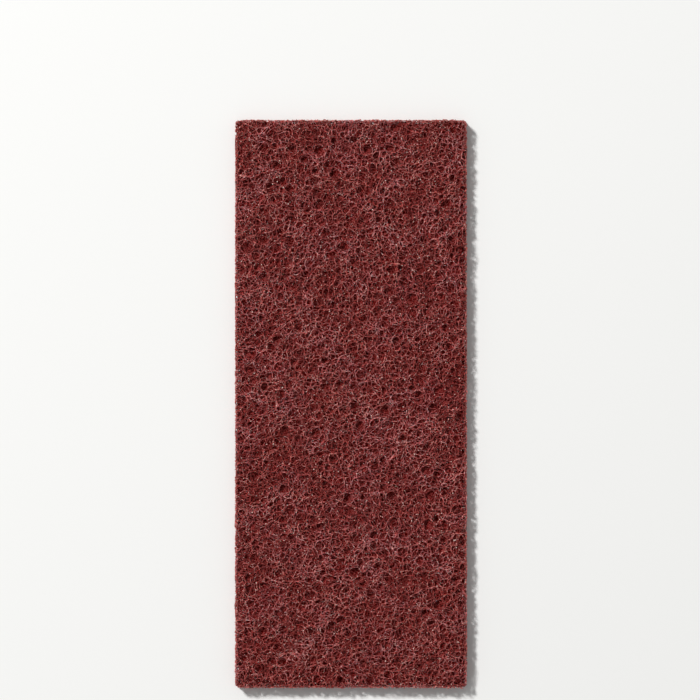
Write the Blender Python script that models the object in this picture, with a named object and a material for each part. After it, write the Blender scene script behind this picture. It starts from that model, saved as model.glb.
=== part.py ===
"""A non-woven scuff pad: one die-cut mat of nylon fibre, bonded by resin and lying flat.

The mat is an open web of crimped fibres. Each face is an uneven net of fibre strands round
small open pores. The strands are level where the mat was pressed flat, and sunk a little
in soft patches. The four cut sides are upright and show the web's open section, frayed
where the die went between the fibres.

Metres, +Z up. The origin is the middle of the underside, on the surface that the pad
lies on. X runs across the pad and Y along it.
"""

import math
import random

import bmesh
import bpy
from mathutils import Matrix, Vector, noise

# The cut pad
PAD_WIDTH = 0.114
PAD_LENGTH = 0.279
PAD_THICKNESS = 0.008

# The net of strands, on the faces and on the cut sides
NET_STEP = 0.0035
STRAND_STRAY = 0.0016  # how far a place of the net strays from an even one
SLACK_SHARE = 0.35  # the share of the strands' places that lie below the face
SLACK_DROP = 0.0009

# The open pores between the strands
PORE_DEPTH_LEAST = 0.0012
PORE_DEPTH_MOST = 0.0028
PRESSED_SHARE = 0.04  # the share of the pores that are matted level with the face

# The soft patches, where the web is thinner
SOFT_PATCH_SPACING = 0.022
SOFT_PATCH_DROP = 0.0006

# The cut edge
EDGE_DROP = 0.0009  # how far a face has dropped where it meets the cut
EDGE_REACH = 0.005  # how far from the cut a face starts to drop
CORNER_RADIUS = 0.0025
CUT_PORE_DEPTH = 0.0011
FRAY_DEPTH = 0.0006  # the deepest notch that the die left between fibres
FRAY_SPACING = 0.0045

TOP_SEED = 11
UNDERSIDE_SEED = 29
SAME_PLACE = 0.000001

MAROON = (0.165, 0.027, 0.027, 1.0)
WEB_ROUGHNESS = 0.82


def clear_scene():
    for item in list(bpy.data.objects):
        bpy.data.objects.remove(item)


def net_steps(size):
    """How many steps of the net span a size of the pad."""
    return round(size / NET_STEP)


def cut_distance(point):
    """How far a place on a face lies from the nearest cut side."""
    return min(PAD_WIDTH / 2 - abs(point.x), PAD_LENGTH / 2 - abs(point.y))


def loose_net(web, level, dice):
    """A level sheet of strands that stray from an even net. The cut holds the rim straight."""
    columns = net_steps(PAD_WIDTH)
    rows = net_steps(PAD_LENGTH)
    place = Matrix.Translation((0, 0, level)) @ Matrix.Diagonal((PAD_WIDTH, PAD_LENGTH, 1, 1))
    sheet = bmesh.ops.create_grid(web, x_segments=columns, y_segments=rows, size=0.5, matrix=place)
    for vertex in sheet["verts"]:
        turn = dice.uniform(0, 2 * math.pi)
        reach = STRAND_STRAY * math.sqrt(dice.random())
        if not vertex.is_boundary:
            vertex.co += reach * Vector((math.cos(turn), math.sin(turn), 0))
    faces = list(dict.fromkeys(face for vertex in sheet["verts"] for face in vertex.link_faces))
    faces = bmesh.ops.triangulate(web, faces=faces)["faces"]
    edges = list(dict.fromkeys(edge for face in faces for edge in face.edges))
    bmesh.ops.beautify_fill(web, faces=faces, edges=edges)
    return sheet["verts"]


def pick_pores(vertices, dice):
    """Picks the net's places that are open pores, so that strands part each pore from the next."""
    pores = {}
    for vertex in dice.sample(vertices, len(vertices)):
        around = [edge.other_vert(vertex) for edge in vertex.link_edges]
        if not any(other in pores for other in around):
            pores[vertex] = around
    return pores


def edge_drop(point):
    """How far a face has rounded down at a place near the cut."""
    share = max(0.0, 1 - cut_distance(point) / EDGE_REACH)
    return EDGE_DROP * share**2


def soft_patch_drop(point, seed):
    """How far a face has sunk at a place. About half of each face has not."""
    place = Vector((point.x, point.y, 0)) / SOFT_PATCH_SPACING
    sunk = noise.noise(place + Vector((0, 0, seed)))
    return SOFT_PATCH_DROP * max(0.0, 2 * sunk)


def shape_face(web, side, seed):
    """One face of the mat, with its net and its pores. side is 1 on top and -1 below."""
    dice = random.Random(seed)
    vertices = loose_net(web, PAD_THICKNESS if side > 0 else 0.0, dice)
    pores = pick_pores(vertices, dice)
    drops = {}
    for vertex in vertices:
        slack = dice.random() < SLACK_SHARE
        drops[vertex] = dice.uniform(0, SLACK_DROP) if slack else 0.0
    for pore, around in pores.items():
        drops[pore] = dice.uniform(PORE_DEPTH_LEAST, PORE_DEPTH_MOST)
        if dice.random() < PRESSED_SHARE:
            drops.update(dict.fromkeys([pore, *around], 0.0))
    for vertex, drop in drops.items():
        if vertex.is_boundary:
            drop = min(drop, SLACK_DROP)
        drop += edge_drop(vertex.co) + soft_patch_drop(vertex.co, seed)
        vertex.co.z -= side * drop


def close_sides(web):
    """Joins the rims of the two faces by the cut sides, in rows of the same net."""
    rims = [edge for edge in web.edges if edge.is_boundary]
    walls = bmesh.ops.bridge_loops(web, edges=rims)
    rungs = [edge for edge in walls["edges"] if edge.calc_length() > PAD_THICKNESS / 2]
    cuts = max(1, net_steps(PAD_THICKNESS) - 1)
    bmesh.ops.subdivide_edges(web, edges=rungs, cuts=cuts, use_grid_fill=True)


def past_corner(point):
    """How far a place lies past the centre of its corner's round, across and along the pad."""
    across = abs(point.x) - (PAD_WIDTH / 2 - CORNER_RADIUS)
    along = abs(point.y) - (PAD_LENGTH / 2 - CORNER_RADIUS)
    return across, along


def cut_depth(point):
    """How deep the cut side lies at a place: notched by the die, and open at its pores."""
    uneven = noise.noise(point / FRAY_SPACING + Vector((0, 0, TOP_SEED)))
    depth = FRAY_DEPTH * min(1.0, max(0.0, 3 * uneven))
    rim_depth = EDGE_DROP + SLACK_DROP + SOFT_PATCH_DROP + SAME_PLACE
    if rim_depth < point.z < PAD_THICKNESS - rim_depth:
        depth += CUT_PORE_DEPTH * abs(noise.cell(point / NET_STEP))
    return depth


def fray_sides(web):
    """Rounds the upright corners, and opens and notches the cut sides."""
    for vertex in web.verts:
        across, along = past_corner(vertex.co)
        if max(across, along) < CORNER_RADIUS - SAME_PLACE:
            continue
        depth = cut_depth(vertex.co)
        ends = Vector((math.copysign(1, vertex.co.x), math.copysign(1, vertex.co.y), 0))
        if min(across, along) > 0:
            out = Vector((across * ends.x, along * ends.y, 0))
            vertex.co += out.normalized() * (CORNER_RADIUS - depth) - out
        elif across > along:
            vertex.co.x -= ends.x * depth
        else:
            vertex.co.y -= ends.y * depth


def fibre_material():
    material = bpy.data.materials.new("maroon_abrasive_web")
    material.use_nodes = True
    shader = material.node_tree.nodes["Principled BSDF"]
    shader.inputs["Base Color"].default_value = MAROON
    shader.inputs["Roughness"].default_value = WEB_ROUGHNESS
    shader.inputs["Metallic"].default_value = 0.0
    return material


def make_pad(collection):
    web = bmesh.new()
    shape_face(web, 1, TOP_SEED)
    shape_face(web, -1, UNDERSIDE_SEED)
    close_sides(web)
    fray_sides(web)
    bmesh.ops.triangulate(web, faces=web.faces)
    bmesh.ops.recalc_face_normals(web, faces=web.faces)
    data = bpy.data.meshes.new("pad")
    web.to_mesh(data)
    web.free()
    data.materials.append(fibre_material())
    pad = bpy.data.objects.new("pad", data)
    collection.objects.link(pad)
    return pad


def main():
    clear_scene()
    collection = bpy.data.collections.new("scuff_pad")
    bpy.context.scene.collection.children.link(collection)
    make_pad(collection)


main()
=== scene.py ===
import math

import bmesh
import bpy
import numpy as np
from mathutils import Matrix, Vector, bvhtree, geometry


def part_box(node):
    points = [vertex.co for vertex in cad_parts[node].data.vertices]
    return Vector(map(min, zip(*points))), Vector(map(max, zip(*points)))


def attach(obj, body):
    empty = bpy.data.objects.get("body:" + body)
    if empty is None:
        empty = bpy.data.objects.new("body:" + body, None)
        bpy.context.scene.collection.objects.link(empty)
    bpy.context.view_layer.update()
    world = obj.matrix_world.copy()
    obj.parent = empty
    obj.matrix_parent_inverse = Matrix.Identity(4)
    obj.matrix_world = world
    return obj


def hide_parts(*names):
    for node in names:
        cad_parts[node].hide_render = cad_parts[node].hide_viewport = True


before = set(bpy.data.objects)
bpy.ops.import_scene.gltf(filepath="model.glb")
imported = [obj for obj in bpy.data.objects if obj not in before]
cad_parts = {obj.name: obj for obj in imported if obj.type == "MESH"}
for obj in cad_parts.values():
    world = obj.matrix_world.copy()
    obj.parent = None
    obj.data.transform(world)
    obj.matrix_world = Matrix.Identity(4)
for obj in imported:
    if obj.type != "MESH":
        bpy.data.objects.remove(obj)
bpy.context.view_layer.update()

bl_info = {
    "name": "Scuff Pad Dresser",
    "version": (1, 0, 0),
    "blender": (4, 5, 0),
    "location": "View3D > Sidebar > Scuff Pad",
    "description": "Grows the fibre web of a non-woven scuff pad on its solid, and sets its stage",
    "category": "Object",
}

CAD_LOW, CAD_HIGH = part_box("pad")
WIDTH, LENGTH, THICKNESS = CAD_HIGH - CAD_LOW
CORNER_RADIUS = 0.0025

# Fibres are tubes with a three-sided section, in steps that are longer where they are hidden
TUBE_SIDES = 3
STEP_LENGTH = 0.00095
HIDDEN_STEP_LENGTH = 0.0013
CORNER_CUT = 0.2  # the share of each of a path's stretches that rounding a corner takes
SAME_PLACE = 0.000001

# How many rows of pores a net has past its sheet's size, and points on an outline's corner
SPARE_ROWS = 2
CORNER_POINTS = 9

# Shares of the strand width: how fibres differ, how resin gathers along one, and at a cut end
FIBRE_GAUGE = (0.7, 1.15)
RESIN_GATHER = (0.65, 1.4)
CUT_GAUGE = (0.6, 1.0)

# The layers of fibres on each face, with the least and the most that each lies below it
FACE_LAYERS = {
    "deep": (0.0010, 0.0019),
    "outer": (0.0000, 0.0010),
    "crossing": (0.0001, 0.0011),
    "fine": (0.0001, 0.0009),
    "loose": (0.0000, 0.0005),
}

# The nets on the cut sides in the same way, and the rim of a cut side that they leave clear
EDGE_LAYERS = ((0.0006, 0.0014), (0.0000, 0.0007))
EDGE_RIM = 0.0006

# The cut fibres: how deep each of their points lies, how far they wander, and their rim
CUT_DEPTHS = (0.0030, 0.0020, 0.0011)
CUT_END_DEPTH = 0.0004
CUT_SWAY = 0.0004
CUT_LIFT = 0.0003
CUT_RIM = 0.0008

# The grid on which the solid's relief is noted, and how much of it the fibres follow
RELIEF_STEP = 0.001
RELIEF_SHARE = 0.6
LAST_STEP = 1.001  # a place past the last step of a grid is read from just inside it

# The nets part round the solid's deepest pores: how deep such a pore is, and the radius of its
# opening from the shallowest to the deepest. Each net has its own opening there: its share of that
# radius, how far it lies to one side, how oval it is, and how far round it fibres move, in radii
OPEN_PORE_DEPTH = (0.0016, 0.0034)
OPEN_PORE_RADIUS = (0.0005, 0.0015)
OPEN_PORE_SHARE = (0.4, 1.2)
OPEN_PORE_SWAY = 0.0005
OPEN_PORE_OVAL = 0.35
OPEN_PORE_REACH = 2.5

# The waves of a net's depth: the rounds that even them out, and how strong they are
DEPTH_WAVES = ((1, 0.22), (3, 0.2))

# How far the core lies below the solid's skin, and the least share of the height that it keeps
CORE_DEPTH = (0.0016, 0.0023)
LEAST_CORE = 0.25

# The smallest bead of resin, as a share of the largest
LEAST_BEAD = 0.4

# What each kind of piece adds to the seed, so that no two draw the same random numbers
FACE_SEED = 2
EDGE_SEED = 10
BEAD_SEED = 20

# The photograph: what one pixel spans on the pad, and where the pad's middle lies in it
PIXEL = 0.00049
PICTURE_SIZE = 700
PAD_MIDDLE_PIXEL = (351, 404)
CAMERA_HEIGHT = 2.0

# The stage
FLOOR_SIZE = 8.0
LAMP_PLACE = (-2.4, 2.4, 3.3)


def linear(hex_colour):
    """A linear RGBA colour from an sRGB hex value such as "7a3836"."""
    parts = [int(hex_colour[place : place + 2], 16) / 255 for place in (0, 2, 4)]
    bent = [part / 12.92 if part <= 0.04045 else ((part + 0.055) / 1.055) ** 2.4 for part in parts]
    return (*bent, 1.0)


class ScuffPadWebSettings(bpy.types.PropertyGroup):
    """The sizes of the fibre web."""

    strand_width: bpy.props.FloatProperty(
        name="Strand width", description="Width of a fibre with its coat of resin and grain",
        default=0.00048, min=0.0001, max=0.002, precision=5, unit="LENGTH",
    )
    pore_spacing: bpy.props.FloatProperty(
        name="Pore spacing", description="Usual distance from one fine pore to the next",
        default=0.0031, min=0.001, max=0.01, precision=5, unit="LENGTH",
    )
    deep_pore_spacing: bpy.props.FloatProperty(
        name="Deep pore spacing", description="Usual distance between pores in the lower layer",
        default=0.0036, min=0.001, max=0.01, precision=4, unit="LENGTH",
    )
    cut_pore_spacing: bpy.props.FloatProperty(
        name="Cut pore spacing", description="Usual distance between pores on the cut sides",
        default=0.0026, min=0.001, max=0.01, precision=4, unit="LENGTH",
    )
    pore_stray: bpy.props.FloatProperty(
        name="Pore stray", description="How far a pore strays from an even pattern, in pore spacings",
        default=1.5, min=0.0, max=2.0,
    )
    wide_share: bpy.props.FloatProperty(
        name="Wide pores", description="Share of the places where neighbouring pores run into one wide pore",
        default=0.1, min=0.0, max=0.5,
    )
    fibre_stray: bpy.props.FloatProperty(
        name="Fibre stray", description="How far a fibre strays from the net's lines",
        default=0.00013, min=0.0, max=0.001, precision=5, unit="LENGTH",
    )
    run_on: bpy.props.FloatProperty(
        name="Run on", description="Chance that a fibre runs on beside another where the two meet",
        default=0.2, min=0.0, max=0.9,
    )
    loose_fibre: bpy.props.FloatProperty(
        name="Loose fibre", description="Length of all the curly fibre that lies loose on each face",
        default=3.2, min=0.0, max=20.0, unit="LENGTH",
    )
    loose_length: bpy.props.FloatProperty(
        name="Loose fibre length", description="Length of one loose fibre",
        default=0.010, min=0.002, max=0.1, precision=4, unit="LENGTH",
    )
    fine_fibre: bpy.props.FloatProperty(
        name="Fine fibre", description="Length of all the fine fibre that crosses the pores of each face",
        default=12.0, min=0.0, max=40.0, unit="LENGTH",
    )
    fine_length: bpy.props.FloatProperty(
        name="Fine fibre length", description="Length of one fine fibre",
        default=0.0048, min=0.002, max=0.1, precision=4, unit="LENGTH",
    )
    fine_width: bpy.props.FloatProperty(
        name="Fine width", description="Width of a fine fibre, as a share of the strand width",
        default=0.6, min=0.1, max=1.0,
    )
    curl_radius: bpy.props.FloatProperty(
        name="Curl radius", description="Usual radius of a loose fibre's crimps",
        default=0.0036, min=0.0005, max=0.02, precision=4, unit="LENGTH",
    )
    crimp_length: bpy.props.FloatProperty(
        name="Crimp length", description="How far a loose fibre runs before it bends another way",
        default=0.003, min=0.0005, max=0.02, precision=4, unit="LENGTH",
    )
    cut_ends: bpy.props.IntProperty(
        name="Cut ends", description="How many fibres end at the cut sides", default=1500, min=0, max=5000,
    )
    bead_radius: bpy.props.FloatProperty(
        name="Bead radius", description="Radius of the largest bead of resin on a fibre",
        default=0.00034, min=0.0001, max=0.001, precision=5, unit="LENGTH",
    )
    bead_count: bpy.props.IntProperty(
        name="Beads", description="How many beads of resin catch the light on each face",
        default=320, min=0, max=2000,
    )
    seed: bpy.props.IntProperty(name="Seed", description="Which of the many like webs is grown", default=7)


class ScuffPadStageSettings(bpy.types.PropertyGroup):
    """The floor, the light and the camera."""

    floor_colour: bpy.props.FloatVectorProperty(
        name="Floor", description="Colour of the floor", subtype="COLOR", size=4,
        default=linear("f4f4f2"), min=0.0, max=1.0,
    )
    key_power: bpy.props.FloatProperty(
        name="Key light", description="Power of the lamp at the upper left",
        default=222.0, min=0.0, unit="POWER",
    )
    key_size: bpy.props.FloatProperty(
        name="Key size", description="Width of the lamp, which softens its shadows",
        default=0.7, min=0.01, unit="LENGTH",
    )
    room_light: bpy.props.FloatProperty(
        name="Room light", description="Strength of the even light from all round", default=0.31, min=0.0,
    )


def add_node(tree, kind, settings=None, links=None):
    """Adds a node. settings maps its properties and sockets to values, and links its sockets to outputs."""
    node = tree.nodes.new(kind)
    for name, value in (settings or {}).items():
        if isinstance(name, str) and name.islower():
            setattr(node, name, value)
        else:
            node.inputs[name].default_value = value
    for name, output in (links or {}).items():
        tree.links.new(output, node.inputs[name])
    return node


def new_material(name):
    material = bpy.data.materials.new(name)
    material.use_nodes = True
    return material, material.node_tree, material.node_tree.nodes["Principled BSDF"]


def mix(tree, blend, factor, first, second):
    """Mixes two colours, each a colour or an output. Returns the output."""
    node = tree.nodes.new("ShaderNodeMix")
    node.data_type = "RGBA"
    node.blend_type = blend
    # The node's sockets go by number, because their names repeat
    for place, value in ((0, factor), (6, first), (7, second)):
        if isinstance(value, bpy.types.NodeSocket):
            tree.links.new(value, node.inputs[place])
        else:
            node.inputs[place].default_value = value
    return node.outputs[2]


def ramp(tree, value, stops):
    """A colour ramp through stops, each a place and a hex colour."""
    node = add_node(tree, "ShaderNodeValToRGB", links={"Fac": value})
    elements = node.color_ramp.elements
    while len(elements) < len(stops):
        elements.new(0.5)
    for element, (place, colour) in zip(elements, stops):
        element.position = place
        element.color = linear(colour)
    return node.outputs["Color"]


def coated_fibre():
    """Crimped nylon in a coat of resin and fine grain.

    Matt maroon. The rubbed crests are paler and dusty, partly from dust and partly as painted
    light, and the fibres lower down are painted darker and redder as shade. Here and there a
    clump of bare grain shows almost white: pale grain, and partly a painted glint. The grain
    breaks up most of the coat's gloss. Some light passes through the fibres and comes out redder.
    """
    material, tree, shader = new_material("resin_coated_nylon_fibre")
    patch_size = 0.012
    spot_size = 0.0011
    clump_size = 0.00042
    grain_size = 0.00012
    bare_grain_glint_level = 0.87
    crest_depth = 0.0003
    buried_depth = 0.0014
    place = add_node(tree, "ShaderNodeTexCoord").outputs["Object"]
    tone = add_node(tree, "ShaderNodeAttribute", {"attribute_name": "tone"}).outputs["Fac"]
    depth = add_node(tree, "ShaderNodeAttribute", {"attribute_name": "depth"}).outputs["Fac"]
    # Painted shade: the deeper a fibre lies, the more its colour goes from the crest colours to the darker,
    # redder buried ones
    painted_shade_share = add_node(
        tree, "ShaderNodeMapRange", {"From Min": crest_depth, "From Max": buried_depth}, {"Value": depth}
    )
    patches = add_node(tree, "ShaderNodeTexNoise", {"Scale": 1 / patch_size, "Detail": 2}, {"Vector": place})
    clumps = add_node(tree, "ShaderNodeTexVoronoi", {"Scale": 1 / clump_size}, {"Vector": place})
    grain = add_node(tree, "ShaderNodeTexVoronoi", {"Scale": 1 / grain_size}, {"Vector": place})
    spots = add_node(tree, "ShaderNodeTexNoise", {"Scale": 1 / spot_size, "Detail": 1.0}, {"Vector": place})
    crest = ramp(tree, spots.outputs["Fac"], ((0.36, "cb605e"), (0.5, "f58d8b"), (0.64, "fcc3bf")))
    buried_painted_shade = ramp(tree, spots.outputs["Fac"], ((0.36, "9b3d3b"), (0.64, "d87270")))
    colour = mix(tree, "MIX", painted_shade_share.outputs["Result"], crest, buried_painted_shade)
    for value, stops in (
        (tone, ((0.0, "dcd0cf"), (0.8, "ffffff"))),
        (patches.outputs["Fac"], ((0.35, "eccac3"), (0.5, "fdf0ed"), (0.65, "fff6fb"))),
        (clumps.outputs["Color"], ((0.15, "a2a2a2"), (0.65, "ffffff"))),
        (grain.outputs["Color"], ((0.0, "c8c8c8"), (0.7, "ffffff"))),
    ):
        colour = mix(tree, "MULTIPLY", 1.0, colour, ramp(tree, value, stops))
    # Clumps painted almost white: pale bare grain, and partly a painted glint
    bare_grain_glint = add_node(
        tree, "ShaderNodeMath", {"operation": "GREATER_THAN", 1: bare_grain_glint_level}, {0: clumps.outputs["Color"]}
    )
    colour = mix(tree, "MIX", bare_grain_glint.outputs["Value"], colour, linear("ecbab2"))
    tree.links.new(colour, shader.inputs["Base Color"])
    shader.inputs["Roughness"].default_value = 0.6
    shader.inputs["IOR"].default_value = 1.53
    shader.inputs["Specular IOR Level"].default_value = 0.15
    shader.inputs["Subsurface Weight"].default_value = 0.5
    shader.inputs["Subsurface Radius"].default_value = (1.0, 0.2, 0.15)
    shader.inputs["Subsurface Scale"].default_value = 0.0003
    bump = add_node(
        tree, "ShaderNodeBump", {"Strength": 0.8, "Distance": grain_size / 3},
        {"Height": grain.outputs["Distance"]},
    )
    tree.links.new(bump.outputs["Normal"], shader.inputs["Normal"])
    return material


def resin_bead():
    """A drop of set resin, speckled with pale grain, which catches the light. Its pale colour is partly a
    painted glint.
    """
    material, tree, shader = new_material("resin_bead")
    grain_size = 0.00012
    place = add_node(tree, "ShaderNodeTexCoord").outputs["Object"]
    grain = add_node(tree, "ShaderNodeTexVoronoi", {"Scale": 1 / grain_size}, {"Vector": place})
    # Near white: pale grain, and partly a painted glint
    colour = ramp(tree, grain.outputs["Color"], ((0.2, "deb8aa"), (0.7, "fff0e6")))
    tree.links.new(colour, shader.inputs["Base Color"])
    shader.inputs["Roughness"].default_value = 0.3
    shader.inputs["IOR"].default_value = 1.6
    return material


def strand_net(tree, place, spacing, shift, slope=0.14):
    """A net of crimped strands that the surface cuts through: 1 on a strand, sloping to 0 in a pore.

    Nets with different shifts differ. slope is how far from a strand's middle the net reaches 0,
    as a share of the spacing.
    """
    crest = 0.03
    bend = 0.6 / spacing
    shove = add_node(tree, "ShaderNodeTexNoise", {"Scale": bend, "Detail": 1.0}, {"Vector": place})
    moved = add_node(
        tree, "ShaderNodeVectorMath", {"operation": "MULTIPLY_ADD", 1: (spacing, spacing, spacing)},
        {0: shove.outputs["Color"], 2: place},
    )
    away = add_node(
        tree, "ShaderNodeMapping", {"Location": (shift, shift, shift)}, {"Vector": moved.outputs["Vector"]}
    )
    cells = add_node(
        tree, "ShaderNodeTexVoronoi", {"feature": "DISTANCE_TO_EDGE", "Scale": 1 / spacing},
        {"Vector": away.outputs["Vector"]},
    )
    ridge = add_node(
        tree, "ShaderNodeMapRange", {"From Min": crest, "From Max": slope, "To Min": 1.0, "To Max": 0.0},
        {"Value": cells.outputs["Distance"]},
    )
    return ridge.outputs["Result"]


def deep_web():
    """The thick of the web below the outer fibres: in shadow, and so dark, saturated and without gloss.

    It shows two nets of strands, which a finer and softer net breaks up into lumps.
    """
    material, tree, shader = new_material("inner_nylon_web")
    strand_height = 0.0005
    least_lump = 0.1
    place = add_node(tree, "ShaderNodeTexCoord").outputs["Object"]
    coarse = strand_net(tree, place, 0.0019, 0.013)
    fine = strand_net(tree, place, 0.0012, 0.037)
    finest = strand_net(tree, place, 0.0006, 0.061, slope=0.5)
    parted = add_node(tree, "ShaderNodeMapRange", {"To Min": least_lump}, {"Value": finest})
    nets = add_node(tree, "ShaderNodeMath", {"operation": "MAXIMUM"}, {0: coarse, 1: fine})
    web = add_node(
        tree, "ShaderNodeMath", {"operation": "MULTIPLY"},
        {0: nets.outputs["Value"], 1: parted.outputs["Result"]},
    ).outputs["Value"]
    # Darkest in the pores between the painted strands: painted shade in the hollows of the web
    colour = ramp(tree, web, ((0.0, "510503"), (0.5, "7d1f1d"), (1.0, "b65552")))
    tree.links.new(colour, shader.inputs["Base Color"])
    shader.inputs["Roughness"].default_value = 0.9
    shader.inputs["IOR"].default_value = 1.53
    shader.inputs["Specular IOR Level"].default_value = 0.0
    bump = add_node(tree, "ShaderNodeBump", {"Strength": 1.0, "Distance": strand_height}, {"Height": web})
    tree.links.new(bump.outputs["Normal"], shader.inputs["Normal"])
    return material


def face_relief(side):
    """How far the solid's face has sunk, on a regular grid. side is 1 on top and -1 below."""
    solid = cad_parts["pad"].data
    points = [vertex.co for vertex in solid.vertices]
    tree = bvhtree.BVHTree.FromPolygons(points, [tuple(face.vertices) for face in solid.polygons])
    across = np.arange(-WIDTH / 2, WIDTH / 2 + RELIEF_STEP / 2, RELIEF_STEP)
    along = np.arange(-LENGTH / 2, LENGTH / 2 + RELIEF_STEP / 2, RELIEF_STEP)
    level = THICKNESS if side > 0 else 0.0
    relief = np.zeros((len(across), len(along)))
    for i, x in enumerate(across):
        for j, y in enumerate(along):
            hit = tree.ray_cast(Vector((x, y, level + side * THICKNESS)), Vector((0, 0, -side)))[0]
            relief[i, j] = side * (level - hit.z) if hit else 0.0
    return relief


def open_pores(side):
    """The solid's deepest pores on a face: the place and the radius of each one's opening.

    A pore's middle is a corner of the solid's faces. Corners that lie deeper still belong to the
    cut sides or to the other face.
    """
    level = THICKNESS if side > 0 else 0.0
    pores = []
    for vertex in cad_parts["pad"].data.vertices:
        x, y, z = vertex.co
        depth = side * (level - z)
        inside = min(WIDTH / 2 - abs(x), LENGTH / 2 - abs(y)) > OPEN_PORE_RADIUS[1]
        if inside and OPEN_PORE_DEPTH[0] < depth < OPEN_PORE_DEPTH[1]:
            pores.append((x, y, np.interp(depth, OPEN_PORE_DEPTH, OPEN_PORE_RADIUS)))
    return pores


def part_fibres(dice, places, pores):
    """Moves places on fibres out from the middle of each open pore, so that the fibres go round it."""
    for across, along, widest in pores:
        middle = (across, along) + dice.normal(0, OPEN_PORE_SWAY, 2)
        radius = widest * dice.uniform(*OPEN_PORE_SHARE)
        reach = OPEN_PORE_REACH * radius
        near = np.flatnonzero(np.abs(places[:, 1] - middle[1]) < reach)
        away = places[near] - middle
        distance = np.maximum(np.hypot(*away.T), SAME_PLACE)
        turn = np.arctan2(away[:, 1], away[:, 0]) - dice.uniform(0, math.pi)
        opening = radius * (1 + OPEN_PORE_OVAL * np.cos(2 * turn))
        shove = opening * np.maximum(0, 1 - distance / reach)
        places[near] += away * (shove / distance)[:, None]
    return places


def read_grid(grid, x, y):
    """Reads a regular grid round the middle of a sheet at many places, evenly between its points."""
    i = np.clip(x / RELIEF_STEP + (grid.shape[0] - 1) / 2, 0, grid.shape[0] - LAST_STEP)
    j = np.clip(y / RELIEF_STEP + (grid.shape[1] - 1) / 2, 0, grid.shape[1] - LAST_STEP)
    i0, j0 = i.astype(int), j.astype(int)
    u, v = i - i0, j - j0
    near = grid[i0, j0] * (1 - u) + grid[i0 + 1, j0] * u
    far = grid[i0, j0 + 1] * (1 - u) + grid[i0 + 1, j0 + 1] * u
    return near * (1 - v) + far * v


def uneven_grid(dice, width, length, rounds):
    """A regular grid of random values round 0. The more rounds of evening out, the broader its waves."""
    grid = dice.normal(0, 1, (round(width / RELIEF_STEP) + 1, round(length / RELIEF_STEP) + 1))
    for axis in rounds * (0, 1):
        grid = (np.roll(grid, 1, axis) + 2 * grid + np.roll(grid, -1, axis)) / 4
    return grid / grid.std()


def uneven_depth(dice, x, y, width, length, least, most):
    """How deep a net lies at many places of a sheet: unevenly, but the same for fibres that meet."""
    share = np.full(len(x), 0.5)
    for rounds, spread in DEPTH_WAVES:
        share += spread * read_grid(uneven_grid(dice, width, length, rounds), x, y)
    return least + (most - least) * np.clip(share, 0, 1)


def pore_net(dice, web, width, length, spacing):
    """An uneven net of strands round the fine pores of a sheet of web.

    Returns the net's places and, for each of them, the numbers of the places next to it.
    """
    row_spacing = spacing * math.sqrt(3) / 2
    across = round(width / spacing) + SPARE_ROWS
    along = round(length / row_spacing) + SPARE_ROWS
    i, j = np.meshgrid(np.arange(across), np.arange(along), indexing="ij")
    stray = dice.uniform(-web.pore_stray, web.pore_stray, (2, *i.shape))
    x = (i + 0.5 * (j % 2) - across / 2 + stray[0]) * spacing
    y = (j - along / 2 + 0.5) * row_spacing + stray[1] * spacing
    open_here = dice.random(i.shape) >= web.wide_share
    pores = [Vector(place) for place in zip(x[open_here], y[open_here])]
    pores, _, meshes = geometry.delaunay_2d_cdt(pores, [], [], 0, SAME_PLACE)[:3]
    places = [sum((pores[number] for number in trio), Vector((0, 0))) / 3 for trio in meshes]
    gaps = {}
    for number, trio in enumerate(meshes):
        for gap in zip(trio, (*trio[1:], trio[0])):
            gaps.setdefault(frozenset(gap), []).append(number)
    around = [[] for _ in places]
    for pair in gaps.values():
        if len(pair) == 2:
            around[pair[0]].append(pair[1])
            around[pair[1]].append(pair[0])
    return places, around


def net_fibres(dice, web, places, around):
    """Splits a net into fibres, which run on as straight as they can. Each is a row of the net's places."""
    used = set()
    starts = [(here, there) for here, near in enumerate(around) for there in near if here < there]
    fibres = []
    for number in dice.permutation(len(starts)):
        if frozenset(starts[number]) in used:
            continue
        fibre = list(starts[number])
        used.add(frozenset(fibre))
        while True:
            last, here = fibre[-2:]
            ways = [there for there in around[here] if there != last]
            fresh = [there for there in ways if frozenset((here, there)) not in used]
            if not fresh and (not ways or dice.random() > web.run_on):
                break
            ahead = places[here] - places[last]
            there = min(fresh or ways, key=lambda way: ahead.angle(places[way] - places[here], 0))
            used.add(frozenset((here, there)))
            fibre.append(there)
        fibres.append(np.array([places[number] for number in fibre]))
    return fibres


def even_path(path, step):
    """Rounds the corners of a path and spaces its points evenly, about a step apart."""
    near, far = CORNER_CUT, 1 - CORNER_CUT
    cut = np.stack([far * path[:-1] + near * path[1:], near * path[:-1] + far * path[1:]], axis=1)
    path = np.concatenate([path[:1], cut.reshape(-1, 2), path[-1:]])
    along = np.concatenate([[0], np.cumsum(np.hypot(*np.diff(path, axis=0).T))])
    steps = max(2, round(along[-1] / step))
    even = np.linspace(0, along[-1], steps + 1)
    return np.stack([np.interp(even, along, path[:, axis]) for axis in (0, 1)], axis=1)


def net_paths(dice, web, width, length, spacing, pores=(), step=STEP_LENGTH):
    """The paths of the fibres that make up an uneven net on a sheet round its middle."""
    fibres = net_fibres(dice, web, *pore_net(dice, web, width, length, spacing))
    paths = [even_path(fibre, step) for fibre in fibres]
    ends = np.cumsum([len(path) for path in paths])[:-1]
    places = part_fibres(dice, np.concatenate(paths), pores)
    return np.split(places + dice.normal(0, web.fibre_stray, places.shape), ends)


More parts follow.
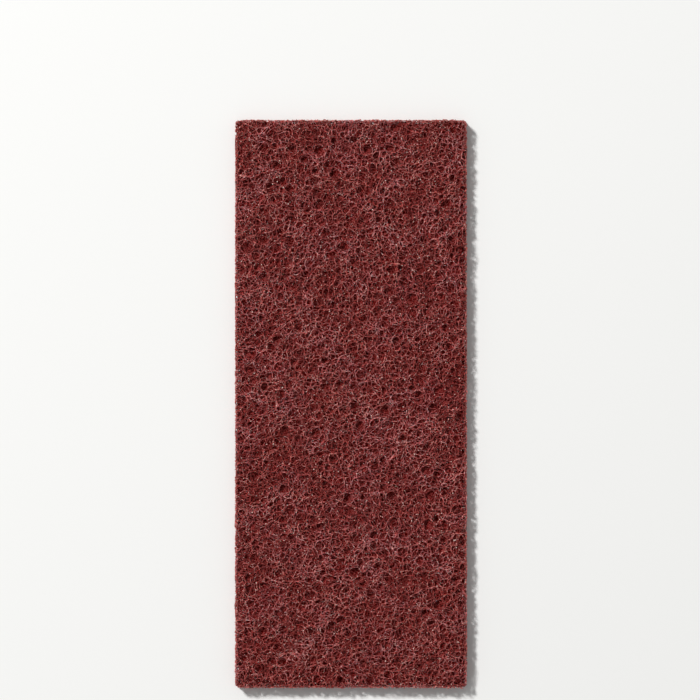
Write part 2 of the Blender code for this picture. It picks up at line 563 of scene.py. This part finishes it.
def loose_paths(dice, web, width, length, total, one):
    """The paths of curly fibres across a sheet round its middle, from their length in total and for one."""
    steps = round(one / STEP_LENGTH)
    count = round(total / one)
    keep = math.exp(-STEP_LENGTH / web.crimp_length)
    bends = np.zeros((steps, count))
    bend = dice.normal(0, 1, count)
    for step in range(steps):
        bends[step] = bend
        bend = bend * keep + dice.normal(0, 1, count) * math.sqrt(1 - keep**2)
    heading = dice.uniform(0, 2 * math.pi, count) + np.cumsum(bends, axis=0) * STEP_LENGTH / web.curl_radius
    ahead = np.stack([np.cos(heading), np.sin(heading)], axis=2) * STEP_LENGTH
    start = dice.uniform(-0.5, 0.5, (count, 2)) * (width, length)
    return list((start + np.cumsum(ahead, axis=0)).transpose(1, 0, 2))


def runs(inside):
    """The stretches of a row of booleans that are true, as pairs of first and one past last."""
    ends = np.flatnonzero(np.diff(np.concatenate([[False], inside, [False]]).astype(int)))
    return ends.reshape(-1, 2)


def half_widths(dice, steps, width):
    """A fibre's half width at each of its points, thicker where resin has gathered."""
    return width / 2 * dice.uniform(*FIBRE_GAUGE) * dice.uniform(*RESIN_GATHER, steps)


def inside_outline(x, y):
    """Whether places lie inside the pad's outline, which has small rounded corners."""
    across = np.abs(x) - (WIDTH / 2 - CORNER_RADIUS)
    along = np.abs(y) - (LENGTH / 2 - CORNER_RADIUS)
    return np.hypot(np.maximum(across, 0), np.maximum(along, 0)) < CORNER_RADIUS


def face_strands(dice, paths, relief, side, least, most, width):
    """Lays paths on a face, between two depths and cut at the outline. side is 1 on top and -1 below."""
    x, y = np.concatenate(paths).T
    half_width = np.concatenate([half_widths(dice, len(path), width) for path in paths])
    depth = uneven_depth(dice, x, y, WIDTH, LENGTH, least, most)
    depth += RELIEF_SHARE * read_grid(relief, x, y) + half_width
    z = THICKNESS - depth if side > 0 else np.maximum(depth, half_width)
    return cut_strands(paths, np.stack([x, y, z, half_width], axis=1), inside_outline(x, y))


def cut_strands(paths, points, inside):
    """Splits points, which follow paths one after another, into strands of those that are inside."""
    strands = []
    ends = np.cumsum([len(path) for path in paths])[:-1]
    for strand, kept in zip(np.split(points, ends), np.split(inside, ends)):
        strands += [strand[first:last] for first, last in runs(kept) if last - first > 1]
    return strands


class Outline:
    """The pad's outline with its rounded corners, to be read at distances along it."""

    def __init__(self):
        places, normals = [], []
        for quarter, corner in enumerate(((1, 1), (-1, 1), (-1, -1), (1, -1))):
            turn = np.linspace(0, math.pi / 2, CORNER_POINTS) + quarter * math.pi / 2
            normal = np.stack([np.cos(turn), np.sin(turn)], axis=1)
            centre = np.array(corner) * (WIDTH / 2 - CORNER_RADIUS, LENGTH / 2 - CORNER_RADIUS)
            normals.append(normal)
            places.append(centre + CORNER_RADIUS * normal)
        self.places = np.concatenate([*places, places[0][:1]])
        self.normals = np.concatenate([*normals, normals[0][:1]])
        self.along = np.concatenate([[0], np.cumsum(np.hypot(*np.diff(self.places, axis=0).T))])
        self.length = self.along[-1]

    def read(self, along, depth):
        """Places this far along the outline and this deep inside it, as x and y."""
        along = along % self.length
        columns = []
        for axis in (0, 1):
            place = np.interp(along, self.along, self.places[:, axis])
            normal = np.interp(along, self.along, self.normals[:, axis])
            columns.append(place - depth * normal)
        return columns


def edge_strands(dice, web, outline, least, most):
    """Lays a net of fibres along the cut sides, between two depths."""
    paths = net_paths(dice, web, outline.length, THICKNESS, web.cut_pore_spacing)
    along, height = np.concatenate(paths).T
    half_width = np.concatenate([half_widths(dice, len(path), web.strand_width) for path in paths])
    depth = uneven_depth(dice, along, height, outline.length, THICKNESS, least, most) + half_width
    x, y = outline.read(along, depth)
    points = np.stack([x, y, height + THICKNESS / 2, half_width], axis=1)
    return cut_strands(paths, points, np.abs(height) < THICKNESS / 2 - EDGE_RIM)


def cut_end_strands(dice, web, outline):
    """Short fibre ends that come out of the web and stop at the cut sides."""
    strands = []
    for _ in range(web.cut_ends):
        depth = np.array((*CUT_DEPTHS, CUT_END_DEPTH * dice.random()))
        along = dice.uniform(0, outline.length) + np.cumsum(dice.normal(0, CUT_SWAY, len(depth)))
        x, y = outline.read(along, depth)
        z = dice.uniform(CUT_RIM, THICKNESS - CUT_RIM) + np.cumsum(dice.normal(0, CUT_LIFT, len(depth)))
        half_width = np.full(len(depth), web.strand_width / 2 * dice.uniform(*CUT_GAUGE))
        strands.append(np.stack([x, y, np.clip(z, CUT_RIM, THICKNESS - CUT_RIM), half_width], axis=1))
    return strands


def fibre_section():
    """The three-sided section that the fibres share, wound so that their faces point out."""
    data = bpy.data.curves.new("fibre_section", "CURVE")
    data.dimensions = "2D"
    ring = data.splines.new("POLY")
    ring.points.add(TUBE_SIDES - 1)
    for number, point in enumerate(ring.points):
        turn = math.pi / 2 - 2 * math.pi * number / TUBE_SIDES
        point.co = (math.cos(turn), math.sin(turn), 0, 1)
    ring.use_cyclic_u = True
    section = bpy.data.objects.new("fibre_section", data)
    bpy.context.scene.collection.objects.link(section)
    return section


def fibre_mesh(name, strands):
    """A mesh of tubes along strands, which are each an array of x, y, z and half width."""
    section = fibre_section()
    data = bpy.data.curves.new(name, "CURVE")
    data.dimensions = "3D"
    data.bevel_mode = "OBJECT"
    data.bevel_object = section
    data.use_fill_caps = True
    data.twist_mode = "Z_UP"
    for strand in strands:
        spline = data.splines.new("POLY")
        spline.points.add(len(strand) - 1)
        spline.points.foreach_set("co", np.insert(strand[:, :3], 3, 1, axis=1).ravel())
        spline.points.foreach_set("radius", strand[:, 3])
    curve = bpy.data.objects.new(name + "_curve", data)
    bpy.context.scene.collection.objects.link(curve)
    graph = bpy.context.evaluated_depsgraph_get()
    mesh = bpy.data.meshes.new_from_object(curve.evaluated_get(graph))
    bpy.data.objects.remove(curve)
    bpy.data.objects.remove(section)
    mesh.name = name
    return mesh


def close_tubes(mesh, dice):
    """Welds the caps to the tubes and gives each tube a tone of its own."""
    web = bmesh.new()
    web.from_mesh(mesh)
    bmesh.ops.remove_doubles(web, verts=web.verts, dist=SAME_PLACE)
    tone = web.verts.layers.float.new("tone")
    for vertex in web.verts:
        vertex.tag = False
    for first in web.verts:
        if first.tag:
            continue
        value = dice.random()
        first.tag = True
        found = [first]
        while found:
            vertex = found.pop()
            vertex[tone] = value
            for edge in vertex.link_edges:
                other = edge.other_vert(vertex)
                if not other.tag:
                    other.tag = True
                    found.append(other)
    bmesh.ops.recalc_face_normals(web, faces=web.faces)
    for face in web.faces:
        face.smooth = True
    web.to_mesh(mesh)
    web.free()


def mark_depth(mesh):
    """Notes on each point how deep below the pad's faces and cut sides it lies."""
    places = np.empty(len(mesh.vertices) * 3, np.float32)
    mesh.vertices.foreach_get("co", places)
    x, y, z = places.reshape(-1, 3).T
    layers = (THICKNESS - z, z, WIDTH / 2 - np.abs(x), LENGTH / 2 - np.abs(y))
    depth = np.maximum(0, np.min(layers, axis=0)).astype(np.float32)
    mesh.attributes.new("depth", "FLOAT", "POINT").data.foreach_set("value", depth)


def add_piece(mesh, material):
    """Adds a mesh as a piece of the pad."""
    mesh.materials.clear()
    mesh.materials.append(material)
    piece = bpy.data.objects.new(mesh.name, mesh)
    bpy.context.scene.collection.objects.link(piece)
    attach(piece, "root")
    return piece


def add_fibres(name, strands, dice, material):
    """Adds strands as one piece of the pad."""
    mesh = fibre_mesh(name, strands)
    close_tubes(mesh, dice)
    mark_depth(mesh)
    return add_piece(mesh, material)


class SCUFFPAD_OT_web_core(bpy.types.Operator):
    """Makes the thick of the web below the outer fibres: the solid's own form, drawn in a little"""

    bl_idname = "scuffpad.web_core"
    bl_label = "Web core"

    def execute(self, context):
        dice = np.random.default_rng(context.scene.scuff_pad_web.seed)
        core = bmesh.new()
        core.from_mesh(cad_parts["pad"].data)
        bmesh.ops.remove_doubles(core, verts=core.verts, dist=SAME_PLACE)
        core.normal_update()
        middle = THICKNESS / 2
        for vertex in core.verts:
            height = vertex.co.z - middle
            vertex.co -= vertex.normal * dice.uniform(*CORE_DEPTH)
            kept = max(LEAST_CORE * abs(height), math.copysign(1, height) * (vertex.co.z - middle))
            vertex.co.z = middle + math.copysign(kept, height)
        for face in core.faces:
            face.smooth = True
        mesh = bpy.data.meshes.new("web_core")
        core.to_mesh(mesh)
        core.free()
        piece = add_piece(mesh, deep_web())
        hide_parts("pad")
        return {"FINISHED"}


class SCUFFPAD_OT_face_fibres(bpy.types.Operator):
    """Grows the fibres of the top and of the underside: three nets, fine fibres and loose ones"""

    bl_idname = "scuffpad.face_fibres"
    bl_label = "Face fibres"

    def execute(self, context):
        web = context.scene.scuff_pad_web
        material = coated_fibre()
        for side, face in ((1, "top"), (-1, "under")):
            dice = np.random.default_rng(web.seed + FACE_SEED + side)
            relief = face_relief(side)
            pores = open_pores(side)
            layers = {
                "deep": net_paths(
                    dice, web, WIDTH, LENGTH, web.deep_pore_spacing, pores, HIDDEN_STEP_LENGTH
                ),
                "outer": net_paths(dice, web, WIDTH, LENGTH, web.pore_spacing, pores),
                "crossing": net_paths(dice, web, WIDTH, LENGTH, web.pore_spacing, pores),
                "fine": loose_paths(dice, web, WIDTH, LENGTH, web.fine_fibre, web.fine_length),
                "loose": loose_paths(dice, web, WIDTH, LENGTH, web.loose_fibre, web.loose_length),
            }
            for layer, paths in layers.items():
                width = web.strand_width * (web.fine_width if layer == "fine" else 1)
                strands = face_strands(dice, paths, relief, side, *FACE_LAYERS[layer], width)
                add_fibres(f"{face}_{layer}_fibres", strands, dice, material)
        return {"FINISHED"}


class SCUFFPAD_OT_edge_fibres(bpy.types.Operator):
    """Grows the fibres that show on the four cut sides"""

    bl_idname = "scuffpad.edge_fibres"
    bl_label = "Edge fibres"

    def execute(self, context):
        web = context.scene.scuff_pad_web
        dice = np.random.default_rng(web.seed + EDGE_SEED)
        outline = Outline()
        strands = cut_end_strands(dice, web, outline)
        for least, most in EDGE_LAYERS:
            strands += edge_strands(dice, web, outline, least, most)
        add_fibres("edge_fibres", strands, dice, bpy.data.materials["resin_coated_nylon_fibre"])
        return {"FINISHED"}


class SCUFFPAD_OT_resin_beads(bpy.types.Operator):
    """Sets beads of resin on the outermost fibres"""

    bl_idname = "scuffpad.resin_beads"
    bl_label = "Resin beads"

    def execute(self, context):
        web = context.scene.scuff_pad_web
        dice = np.random.default_rng(web.seed + BEAD_SEED)
        beads = bmesh.new()
        for name in ("top_outer_fibres", "under_outer_fibres"):
            vertices = bpy.data.meshes[name].vertices
            for number in dice.choice(len(vertices), web.bead_count, replace=False):
                place = vertices[int(number)].co.copy()
                radius = web.bead_radius * dice.uniform(LEAST_BEAD, 1.0)
                place.z = max(place.z, radius)
                bead = bmesh.ops.create_icosphere(beads, subdivisions=1, radius=radius)
                bmesh.ops.translate(beads, verts=bead["verts"], vec=place)
        for face in beads.faces:
            face.smooth = True
        mesh = bpy.data.meshes.new("resin_beads")
        beads.to_mesh(mesh)
        beads.free()
        add_piece(mesh, resin_bead())
        return {"FINISHED"}


class SCUFFPAD_OT_stage(bpy.types.Operator):
    """Makes the floor, the light and the camera"""

    bl_idname = "scuffpad.stage"
    bl_label = "Stage"

    def execute(self, context):
        stage = context.scene.scuff_pad_stage
        add_camera(context.scene)
        add_floor(context.scene, stage)
        add_light(context.scene, stage)
        context.scene.view_settings.view_transform = "Standard"
        return {"FINISHED"}


def add_camera(scene):
    """A camera straight above, which sees the pad where the photograph shows it."""
    data = bpy.data.cameras.new("camera")
    data.lens = data.sensor_width * (CAMERA_HEIGHT - THICKNESS) / (PIXEL * PICTURE_SIZE)
    camera = bpy.data.objects.new("camera", data)
    across = (PICTURE_SIZE / 2 - PAD_MIDDLE_PIXEL[0]) * PIXEL
    along = (PAD_MIDDLE_PIXEL[1] - PICTURE_SIZE / 2) * PIXEL
    camera.location = (across, along, CAMERA_HEIGHT)
    scene.collection.objects.link(camera)
    scene.camera = camera


def add_floor(scene, stage):
    """A wide matt board."""
    ground = bmesh.new()
    bmesh.ops.create_grid(ground, x_segments=1, y_segments=1, size=FLOOR_SIZE / 2)
    mesh = bpy.data.meshes.new("floor")
    ground.to_mesh(mesh)
    ground.free()
    material, _, shader = new_material("matt_white_board")
    shader.inputs["Base Color"].default_value = stage.floor_colour
    shader.inputs["Roughness"].default_value = 0.9
    shader.inputs["Specular IOR Level"].default_value = 0.1
    mesh.materials.append(material)
    floor = bpy.data.objects.new("floor", mesh)
    scene.collection.objects.link(floor)


def add_light(scene, stage):
    """One lamp at the upper left, and a white room that gives less light than it shows."""
    data = bpy.data.lights.new("key_lamp", "AREA")
    data.shape = "DISK"
    data.size = stage.key_size
    data.energy = stage.key_power
    lamp = bpy.data.objects.new("key_lamp", data)
    lamp.location = LAMP_PLACE
    lamp.rotation_mode = "QUATERNION"
    lamp.rotation_quaternion = lamp.location.to_track_quat("Z", "Y")
    scene.collection.objects.link(lamp)
    room = bpy.data.worlds.new("room")
    room.use_nodes = True
    tree = room.node_tree
    lit = tree.nodes["Background"]
    lit.inputs["Color"].default_value = linear("ffffff")
    lit.inputs["Strength"].default_value = stage.room_light
    seen = add_node(tree, "ShaderNodeBackground", {"Color": stage.floor_colour, "Strength": 1.0})
    ray = add_node(tree, "ShaderNodeLightPath").outputs
    direct = ray["Is Camera Ray"]
    for kind in ("Is Glossy Ray", "Is Transmission Ray"):
        both = add_node(tree, "ShaderNodeMath", {"operation": "MAXIMUM"}, {0: direct, 1: ray[kind]})
        direct = both.outputs["Value"]
    either = add_node(
        tree, "ShaderNodeMixShader",
        links={0: direct, 1: lit.outputs["Background"], 2: seen.outputs["Background"]},
    )
    tree.links.new(either.outputs["Shader"], tree.nodes["World Output"].inputs["Surface"])
    scene.world = room


class SCUFFPAD_PT_panel(bpy.types.Panel):
    """Lists the steps that dress the pad"""

    bl_label = "Scuff Pad"
    bl_idname = "SCUFFPAD_PT_panel"
    bl_space_type = "VIEW_3D"
    bl_region_type = "UI"
    bl_category = "Scuff Pad"

    def draw(self, context):
        for operator in OPERATORS:
            self.layout.operator(operator.bl_idname)


OPERATORS = (
    SCUFFPAD_OT_web_core,
    SCUFFPAD_OT_face_fibres,
    SCUFFPAD_OT_edge_fibres,
    SCUFFPAD_OT_resin_beads,
    SCUFFPAD_OT_stage,
)
CLASSES = (ScuffPadWebSettings, ScuffPadStageSettings, *OPERATORS, SCUFFPAD_PT_panel)


def register():
    for item in CLASSES:
        bpy.utils.register_class(item)
    bpy.types.Scene.scuff_pad_web = bpy.props.PointerProperty(type=ScuffPadWebSettings)
    bpy.types.Scene.scuff_pad_stage = bpy.props.PointerProperty(type=ScuffPadStageSettings)


def unregister():
    del bpy.types.Scene.scuff_pad_stage
    del bpy.types.Scene.scuff_pad_web
    for item in reversed(CLASSES):
        bpy.utils.unregister_class(item)


def main():
    register()
    bpy.ops.scuffpad.web_core()
    bpy.ops.scuffpad.face_fibres()
    bpy.ops.scuffpad.edge_fibres()
    bpy.ops.scuffpad.resin_beads()
    bpy.ops.scuffpad.stage()


if __name__ == "__main__":
    main()
